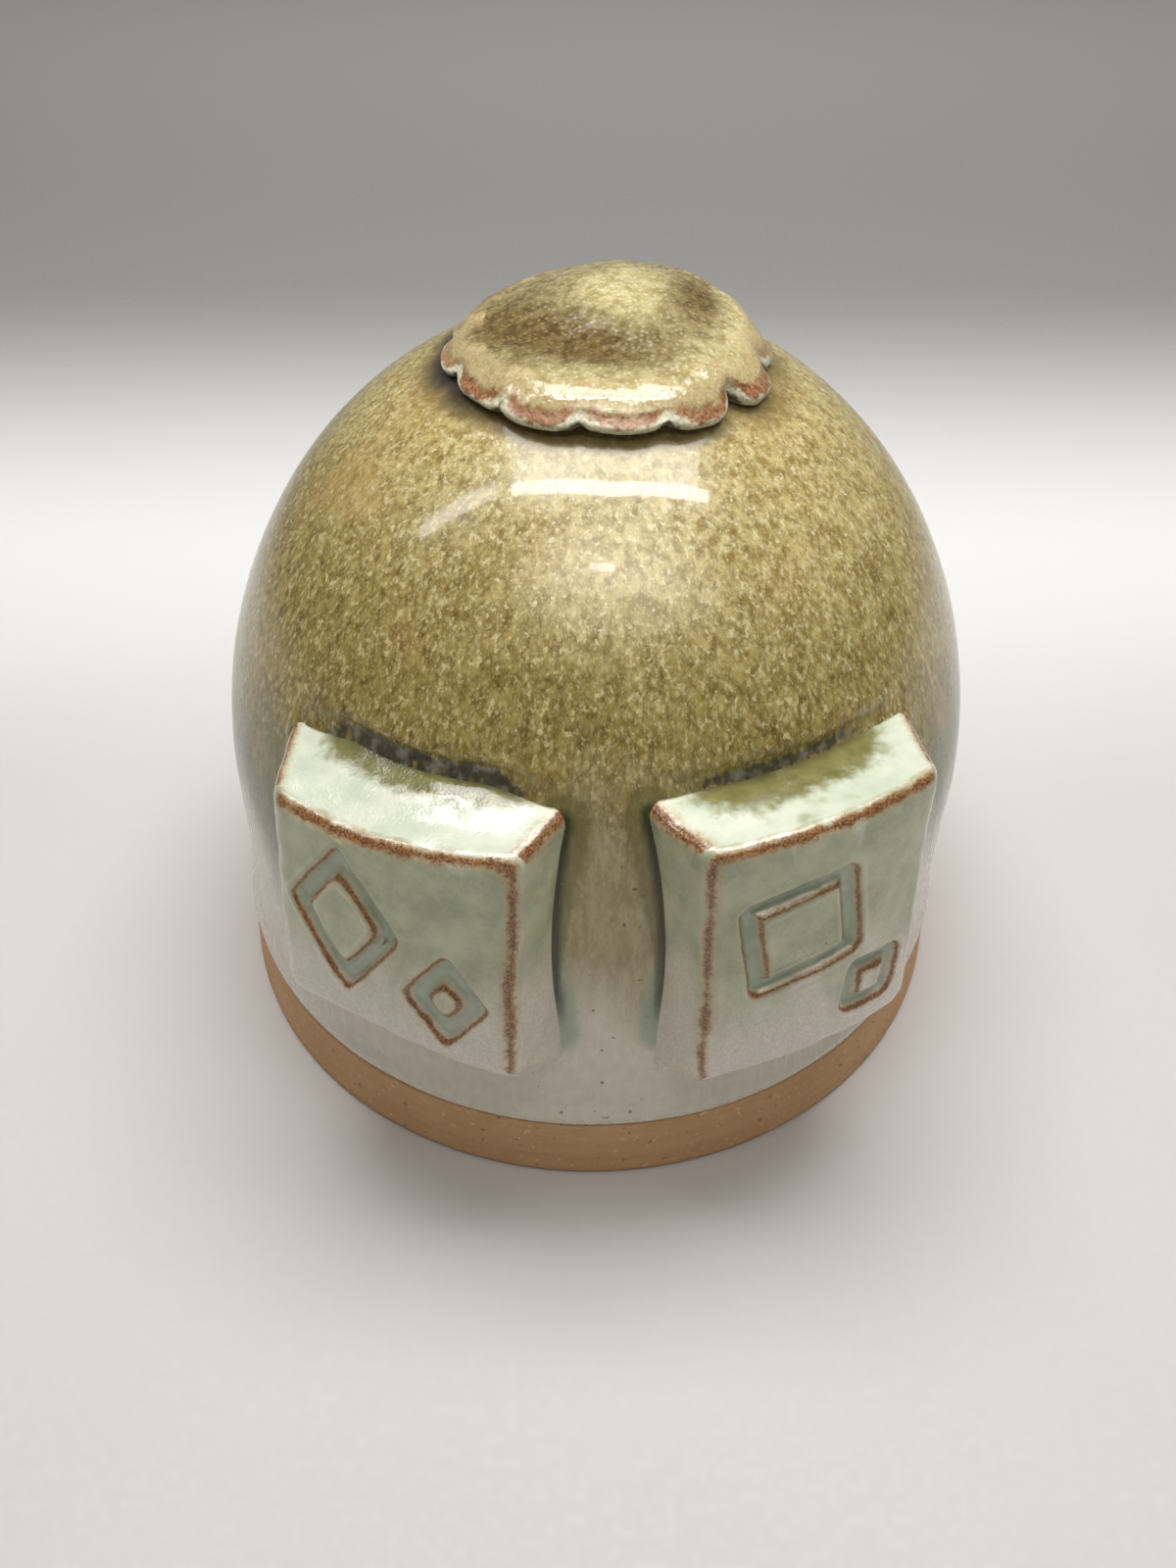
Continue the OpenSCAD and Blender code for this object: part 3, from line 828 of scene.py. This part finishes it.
def furrow_share(points, seams):
    """The furrow's dent along the tops of the tiles, and the dark staining and painted shade in it, as shares
    of their most.
    """
    share, stain_and_shade = np.zeros(len(points)), np.zeros(len(points))
    for seam in seams:
        for target, depth in zip(seam.points[seam.top > 0], seam.top[seam.top > 0]):
            gap = np.sqrt(np.sum((points - target) ** 2, axis=1))
            share = np.maximum(share, depth * rise(gap, FURROW_W, FURROW_BITE + 0.3))
            reach = (FURROW_BITE + STAIN_AND_SHADE_W) * depth + 0.4 * STAIN_AND_SHADE_W
            stain_and_shade = np.maximum(stain_and_shade, rise(gap, reach, reach - 0.9 * STAIN_AND_SHADE_W))
    return share, stain_and_shade * np.clip(0.85 + 0.5 * wobble(points, 4, 9), 0.4, 1)


def cap_edge(turns):
    """Radius of the cap's scalloped rim, and how far it is into a notch, from 0 to 1."""
    place = (turns - LOBE_TURN) * CAP_LOBES / (2 * math.pi)
    number = np.round(place)
    notch = np.abs(2 * (place - number)) ** 3
    depth = np.take(NOTCH_DEPTHS, np.floor(place).astype(int) % CAP_LOBES)
    uneven = 0.2 * np.sin(number * 2.4 + 1) + 0.15 * np.sin(number * 5.3)
    return CAP_R + uneven * (1 - notch) - depth * notch, notch


def thumb_print(x, y):
    """The thumb print's depth, as a share of its deepest."""
    cos, sin = math.cos(THUMB_TURN), math.sin(THUMB_TURN)
    along = (x - THUMB_AT[0]) * cos + (y - THUMB_AT[1]) * sin
    across = (y - THUMB_AT[1]) * cos - (x - THUMB_AT[0]) * sin
    return bell(along, across, (0, 0), THUMB_SIZE)


def cap_under(x, y):
    """Height of the cap's underside, which lifts off the dome at the front."""
    r = np.hypot(x + CAP_SHIFT[0], y + CAP_SHIFT[1])
    return dome_z(r) + CAP_GAP + CAP_LIFT * np.maximum(0, -y / CAP_R) ** 2


def cap_over(x, y):
    """Height of the cap's top, inside its rolled rim."""
    front = 0.5 - 0.5 * np.tanh(y / FRONT_FADE)
    thickness = CAP_RIM_T * (CAP_BACK_SHARE + (1 - CAP_BACK_SHARE) * front)
    thickness += CAP_SLOPE * (x / CAP_R) * (1 - front / 2) + MOUND_H * bell(x, y, MOUND_AT, MOUND_SIZE)
    return cap_under(x, y) + np.maximum(thickness - THUMB_H * thumb_print(x, y), CAP_MIN_T)


def cap_dark(x, y):
    """How dark the cap is painted: darkest in the thumb print and on the slopes beside the pale middle,
    partly darker glaze and partly painted shade.
    """
    inside = rise(np.hypot(np.maximum(x, 0), np.minimum(y, 0)), 13, 8)
    slopes = 0.5 * (1 - bell(x, y, PALE_AT, PALE_SIZE))
    slopes += 0.35 * bell(x, y, LEFT_DARK_AT, LEFT_DARK_SIZE)
    slopes += 0.75 * bell(x, y, RIGHT_DARK_AT, RIGHT_DARK_SIZE)
    return 0.65 * thumb_print(x, y) + slopes * inside


def cap_rings(turns, edge, notch, front):
    """Rings of the cap from the middle of its top, over the rolled rim, to the middle of its underside.

    With each ring goes how far it is over the rim: 0 on top, 1 at the lowest edge and more below it."""
    cos, sin = np.cos(turns), np.sin(turns)
    rings, rim = [], []

    def add_ring(r, z, rim_share):
        rings.append(np.stack([r * cos, r * sin, z], axis=1))
        rim.append(rim_share + 0 * turns)

    for share in np.linspace(0, 1, CAP_TOP_ROWS + 1)[1:]:
        r = CREST_R * share + 0 * turns
        add_ring(r, cap_over(r * cos, r * sin), RIM_CREST * rise(share, 0.8, 1.0) * front)
    top_z = rings[-1][:, 2]
    crown_z = dome_z(np.hypot(edge * cos + CAP_SHIFT[0], edge * sin + CAP_SHIFT[1]))
    low_z = cap_under(edge * cos, edge * sin) - ROLL_DROP + NOTCH_LIFT * notch * front
    low_z = np.minimum(low_z, crown_z + BACK_GAP + FRONT_FREE * front)
    rim_front = rise(-sin, -0.75, -0.1)
    for bend in np.linspace(0, math.pi / 2, CAP_ROLL_ROWS + 1)[1:]:
        fall = 0.7 * (1 - math.cos(bend)) + 0.3 * math.sin(bend) ** 1.4
        roll = ROLL_BULGE * math.exp(-((fall - ROLL_AT) / ROLL_W) ** 2)
        waist = WAIST_H * math.exp(-((fall - WAIST_AT) / WAIST_W) ** 2)
        swell = CAP_R + (edge - CAP_R) * math.sin(bend) ** 2 - CREST_R
        r = CREST_R + swell * math.sin(bend) + roll - waist * front
        over_rim = RIM_CREST + (1 - RIM_CREST) * fall + 0.3 * notch
        add_ring(r, top_z + (low_z - top_z) * fall, over_rim * rim_front)
    for bend in np.linspace(0, math.pi / 2, CAP_TUCK_ROWS + 1)[1:]:
        z = low_z - TUCK_DROP * math.sin(bend) * front
        add_ring(edge - TUCK * (1 - math.cos(bend)), z, 1.0 + 0.3 * bend)
    under_z = rings[-1][:, 2]
    for share in np.linspace(1, 0, CAP_UNDER_ROWS + 2)[1:-1]:
        r = (edge - TUCK) * share
        sag = rise(share, 0.72, 1.0)
        add_ring(r, cap_under(r * cos, r * sin) * (1 - sag) + under_z * sag, RIM_UNDER)
    return np.array(rings), np.array(rim)


def build_cap(material):
    """Makes the cap and returns points of the crown below its rim."""
    turns = np.linspace(0, 2 * math.pi, CAP_LOBES * LOBE_COLUMNS, endpoint=False)
    edge, notch = cap_edge(turns)
    front = rise(-np.sin(turns), -0.3, 0.6)
    rings, rim = cap_rings(turns, edge, notch, front)
    hollow = cap_dark(rings[..., 0], rings[..., 1])
    lobe = np.tile((1 - rise(notch, 0.25, 0.8)) * (0.35 + 0.65 * front), len(rings))
    flat = rings.reshape(-1, 3)
    for size, reach, seed in CAP_LUMPS:
        flat = flat + reach * push(flat, size, seed)
    middle = np.zeros(1)
    tips = np.array([[0, 0, cap_over(middle, middle)[0]], [0, 0, cap_under(middle, middle)[0]]])
    shift = np.array([*CAP_SHIFT, 0])
    skin = loft(leaning(flat + shift).reshape(rings.shape), leaning(tips + shift))
    add_piece(
        "pinched_cap", skin, material, "cap_glaze", "top_cap",
        rim=np.concatenate([*rim, [0.0, RIM_UNDER]]),
        hollow=np.concatenate([*hollow, [hollow[0].mean(), 0.0]]),
        lobe=np.concatenate([lobe, [1, 1]]),
    )
    foot = np.stack([edge * np.cos(turns), edge * np.sin(turns)], axis=1) + shift[:2]
    return np.column_stack([foot, dome_z(np.hypot(*foot.T))])


def dome_rings():
    """Rings of the dome's outside from its crown to the edge of the glaze, and of its inside back up."""
    turns = np.linspace(0, 2 * math.pi, DOME_COLUMNS, endpoint=False)
    cos, sin = np.cos(turns), np.sin(turns)
    wave = 1 + wobble(np.stack([cos, sin, 0 * cos], axis=1), 0.5, 7)
    level = FOOT_TOP + LIP_GAP + LIP_WAVE * wave
    edge_z = (level + FOOT_R * cos * math.sin(LEAN)) / math.cos(LEAN)

    def ring(r, z):
        return np.stack([r * cos, r * sin, z + 0 * cos], axis=1)

    def wall(z):
        return skirt_r(z) + LIP_BULGE * np.exp(-((z - edge_z - LIP_AT) / LIP_WIDTH) ** 2)

    outer = []
    for angle in np.radians(np.arange(90 - DOME_STEP, 0, -DOME_STEP)):
        outer.append(ring(SHOULDER_R * math.cos(angle), SHOULDER_Z + DOME_RISE * math.sin(angle)))
    for share in np.linspace(0, 1, SKIRT_ROWS):
        z = SHOULDER_Z + (edge_z + LIP_ROUND - SHOULDER_Z) * share
        outer.append(ring(wall(z), z))
    for bend in np.linspace(0, math.pi / 2, LIP_ROWS + 1)[1:]:
        z = edge_z + LIP_ROUND * (1 - math.sin(bend))
        outer.append(ring(wall(edge_z + LIP_ROUND) - LIP_ROUND * (1 - math.cos(bend)), z))
    inner = []
    for share in np.linspace(0, 1, INNER_ROWS // 3):
        z = edge_z + INNER_START + (SHOULDER_Z - edge_z - INNER_START) * share
        inner.append(ring(skirt_r(z) - WALL_T, z))
    for angle in np.linspace(0, math.pi / 2, INNER_ROWS)[1:-1]:
        z = SHOULDER_Z + (DOME_RISE - WALL_T) * math.sin(angle)
        inner.append(ring((SHOULDER_R - WALL_T) * math.cos(angle), z))
    return outer, inner


def dome_shares(skin, side_gap, facing_gap, cap_gap, stain_and_shade):
    """How much of a run, seam, drip, pooled glaze round the cap and the like shows at each point of the
    dome's skin, with painted shade in the furrow and under the cap's rim.

    The gaps are those to the tiles' sides, to the two sides that face each other, and to the cap's rim."""
    z = skin[:, 2]
    front = np.degrees(np.arctan2(skin[:, 0], -skin[:, 1]))
    run_w = 0.8 + 2.6 * rise(z, 28, 48)
    facing_run = rise(facing_gap, run_w, 0.0) * rise(z, 24, 30)
    side_run = 0.5 * rise(side_gap, run_w, 0) * rise(z, 28, 34)
    drip_gap = np.hypot(facing_gap, 0.55 * np.maximum(0, 24 - z))
    pool_and_shade_w = 2.2 + 3.6 * rise(np.abs(front), 35, 80)
    return {
        "run": facing_run + side_run,
        "seam": rise(facing_gap, 0.9, 0.2) * rise(z, 23, 30),
        "drip": rise(drip_gap, 3.0, 0.4) * rise(z, 38, 28),
        "between": rise(np.abs(front - 2), 16, 9),
        "crevice": stain_and_shade,
        # Glaze pooled round the cap's foot with painted shade, and its darker left part.
        "pool_and_shade": rise(cap_gap, pool_and_shade_w, 0.0) * (0.75 + 0.25 * rise(-front, 0, 60)),
        "shade": rise(cap_gap, 3.0, 0.5) * rise(np.abs(front + 88), 50, 15),
    }


def build_dome(material, seams, cap_foot):
    """Makes the dome, with its glaze marked by the tiles' seams and by the points below the cap's rim."""
    outer, inner = dome_rings()
    skin_count = len(outer) * DOME_COLUMNS
    flat = np.concatenate(outer + inner)
    skin = flat[:skin_count]

    upright = [np.abs(s.a) >= np.abs(s.b) for s in seams]
    side = np.concatenate([s.points[u] for s, u in zip(seams, upright)])
    facing = np.concatenate([s.points[u & (s.a * s.outer < 0)] for s, u in zip(seams, upright)])
    side_gap = nearest(skin, side)
    furrow, stain_and_shade = furrow_share(skin, seams)
    shares = dome_shares(skin, side_gap, nearest(skin, facing), nearest(skin, cap_foot), stain_and_shade)

    r = np.hypot(skin[:, 0], skin[:, 1])
    out = skin[:, :2] / np.hypot(r, 1)[:, None]
    lumps = WALL_LUMP_H * wobble(skin, 14, 5) + WALL_RIPPLE_H * wobble(skin, 5, 6)
    meniscus = MENISCUS_H * rise(side_gap, MENISCUS_W, 0.0)
    flat[:skin_count, :2] += out * (lumps + meniscus - FURROW_H * furrow)[:, None]
    tips = leaning(np.array([[0, 0, CROWN_Z], [0, 0, CROWN_Z - WALL_T]]))
    made = loft(leaning(flat).reshape(-1, DOME_COLUMNS, 3), tips)
    rest = np.zeros(len(made[0]) - skin_count)
    padded = {label: np.concatenate([values, rest]) for label, values in shares.items()}
    add_piece("glazed_dome", made, material, "olive_glaze", "dome_shell", **padded)


def rounded_profile(corners):
    """A closed outline of (r, z) through corners of (r, z, rounding), with evenly spaced points."""
    corners = np.array(corners, float)
    path = []
    for before, here, after in zip(np.roll(corners, 1, 0), corners, np.roll(corners, -1, 0)):
        into, away = before[:2] - here[:2], after[:2] - here[:2]
        into, away = into / np.hypot(*into), away / np.hypot(*away)
        start, end = here[:2] + into * here[2], here[:2] + away * here[2]
        for t in np.linspace(0, 1, CORNER_POINTS):
            path.append((1 - t) ** 2 * start + 2 * t * (1 - t) * here[:2] + t ** 2 * end)
    path = np.array(path + path[:1])
    travel = np.concatenate([[0], np.cumsum(np.hypot(*np.diff(path, axis=0).T))])
    even = np.linspace(0, travel[-1], int(travel[-1] / PROFILE_STEP), endpoint=False)
    return np.stack([np.interp(even, travel, path[:, 0]), np.interp(even, travel, path[:, 1])], axis=1)


def build_thrown(name, corners, rings_h, material, slot, node):
    """A piece turned from a closed outline, with faint throwing rings."""
    turns = np.linspace(0, 2 * math.pi, THROWN_COLUMNS, endpoint=False)
    rings = []
    for r, z in rounded_profile(corners):
        swell = rings_h * (math.sin(z * 2.6) + 0.6 * math.sin(z * 4.3 + 1))
        ridge = r + swell * np.cos(0.5 * turns) ** 2 + swell * 0.5
        rings.append(np.stack([ridge * np.cos(turns), ridge * np.sin(turns), z + 0 * turns], axis=1))
    add_piece(name, loft(rings), material, slot, node)


def build_foot(material):
    """The foot with its floor, the recess below it and the funnel's mouth in it."""
    inner_r = skirt_r(FOOT_TOP + INNER_START) - WALL_T
    ring_r = FOOT_R - FOOT_RING_W
    slope = [(skirt_r(z), z, 0.2) for z in (2.5, 5.0)]
    build_thrown("clay_foot", [
        (skirt_r(FOOT_TOP), FOOT_TOP, 0.15),
        (inner_r, FOOT_TOP, 0.4),
        (inner_r, FLOOR_TOP, 0.6),
        (MOUTH_R, FLOOR_TOP, 0.2),
        (MOUTH_R, RECESS_H, 0.8),
        (ring_r, RECESS_H, 0.6),
        (ring_r, 0.0, 0.5),
        (skirt_r(0.0), 0.0, 0.9),
        *slope,
    ], FOOT_RINGS_H, material, "bare_clay", "foot_base")


def build_funnel(material):
    """The cone inside, from its mouth at the floor to the bore at its tip."""
    build_thrown("clay_funnel", [
        (MOUTH_R, FUNNEL_BOTTOM, 0.2),
        (TIP_R, TIP_Z - TIP_BORE_H, 1.0),
        (TIP_R, TIP_Z, 0.8),
        (TIP_R + TIP_T, TIP_Z, 0.9),
        (MOUTH_R + FUNNEL_T, FUNNEL_BOTTOM, 0.5),
    ], FUNNEL_RINGS_H, material, "inner_clay", "pour_funnel")


def build_floor():
    """A pale floor, with painted light just behind the object and painted shade that turns it grey far behind
    it.
    """
    mesh = bpy.data.meshes.new("floor")
    corners = [(x * FLOOR_HALF, y * FLOOR_HALF, 0) for x, y in ((-1, -1), (1, -1), (1, 1), (-1, 1))]
    mesh.from_pydata(corners, [], [(0, 1, 2, 3)])
    sh = Shader("floor_paint")
    place = sh.place()
    depth = sh.add("ShaderNodeSeparateXYZ", {0: place}).outputs["Y"]
    paint = sh.mix(sh.grain(place, 30, 3), tint(207, 203, 199), tint(212, 208, 204))
    # Painted shade: grey far behind the object.
    far = sh.mix(sh.rise(depth, 190, 360), tint(146, 144, 141), tint(170, 168, 165))
    # Painted light: a brighter band just behind the object.
    colour = sh.mix(sh.rise(depth, 8, 76), paint, tint(236, 234, 232))
    colour = sh.mix(sh.rise(depth, 74, 172), colour, far)
    roughness = sh.rise(sh.grain(place, 1, 2), -1, 1.5, 1.4)
    mesh.materials.append(sh.finish(colour, roughness, sh.grain(place, 1), 0.004))
    floor = bpy.data.objects.new("floor", mesh)
    bpy.context.scene.collection.objects.link(floor)


def add_panel(name, at, size, watts, turn=0.0, gloss_only=False):
    """A flat lamp at a place, tipped to face y = 0 at the object's mid height and then turned about Z.

    One for gloss only shows in the glaze and adds no light to matte colours. Returns the lamp."""
    lamp = bpy.data.lights.new(name, "AREA")
    lamp.shape = "RECTANGLE"
    lamp.size, lamp.size_y = size
    lamp.energy = watts
    panel = bpy.data.objects.new(name, lamp)
    panel.location = at
    facing = (Vector((at[0], 0, AIM_Z)) - Vector(at)).to_track_quat("-Z", "Y")
    panel.rotation_euler = (Quaternion((0, 0, 1), math.radians(turn)) @ facing).to_euler()
    panel.visible_diffuse = not gloss_only
    bpy.context.scene.collection.objects.link(panel)
    return lamp


def build_lights():
    """A grey world, soft lamps above and in front, and strips and a warm glow that show in the glaze."""
    world = bpy.data.worlds.new("studio")
    world.use_nodes = True
    background = world.node_tree.nodes["Background"]
    background.inputs["Color"].default_value = WORLD_GREY
    background.inputs["Strength"].default_value = WORLD_STRENGTH
    bpy.context.scene.world = world
    for name, x, y, size, watts, turn in (
        ("far_left_strip", -0.33, -0.01, (0.25, 0.04), 0.45, 0),
        ("left_strip", -0.072, -0.031, (0.195, 0.03), 0.55, -7),
        ("right_strip", 0.124, -0.029, (0.20, 0.03), 0.55, 8),
    ):
        add_panel(name, (x, y, LAMP_Z), size, watts, turn, gloss_only=True)
    add_panel("overhead_soft", (0.02, 0.09, 0.50), (0.45, 0.2), 2.5)
    add_panel("front_soft", (0.03, -0.16, 0.40), (0.28, 0.16), 0.22)
    for name, x, size, watts in (
        ("wide_glow", 0.07, (0.56, 0.24), 0.9),
        ("mid_glow", 0.05, (0.42, 0.17), 1.0),
        ("core_glow", 0.04, (0.28, 0.1), 0.55),
    ):
        lamp = add_panel(name, (x, GLOW_Y, LAMP_Z), size, watts, gloss_only=True)
        lamp.shape = "ELLIPSE"
        lamp.color = GLOW_COLOUR
    add_panel("small_lamp", (0.01, -0.17, 0.35), (0.05, 0.014), 0.05)


def build_camera():
    """The photograph's view: from in front and above, close to the object."""
    camera = bpy.data.cameras.new("camera")
    camera.lens = CAMERA_LENS
    camera.sensor_width = CAMERA_SENSOR
    camera.clip_start = 0.01
    eye = bpy.data.objects.new("camera", camera)
    eye.location = CAMERA_AT
    eye.rotation_euler = (CAMERA_PITCH, 0, CAMERA_YAW)
    bpy.context.scene.collection.objects.link(eye)
    bpy.context.scene.camera = eye


def main():
    bpy.context.scene.view_settings.view_transform = "Standard"
    build_camera()
    build_lights()
    build_floor()

    clay = bare_clay("bare_clay", tint(188, 141, 93), tint(218, 174, 124))
    inner = bare_clay("inner_clay", tint(160, 120, 82), tint(188, 150, 110))
    glaze = tile_glaze()
    left = Tile(
        width=24.6, heights=(21.0, 25.2), height=36.6, turn=-26, tilt=(9, 3),
        outer=-1, top_draft=12, moss=4.4, lip=1.0,
    )
    right = Tile(
        width=23.4, heights=(28.6, 29.2), height=36.8, turn=28, tilt=(6, -1),
        outer=1, top_draft=2, moss=7.6, lip=0.0,
    )
    seams = [
        build_tile("left_slab", left, left_channel, glaze, 11),
        build_tile("right_slab", right, right_channel, glaze, 21),
    ]
    cap_foot = build_cap(cap_glaze())
    build_dome(dome_glaze(), seams, cap_foot)
    build_foot(clay)
    build_funnel(inner)
    slip = dry_slip()
    for name in ("seam_slip", "funnel_slip", "cap_slip", "left_tile_slip", "right_tile_slip"):
        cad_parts[name].data.materials[0] = slip


main()
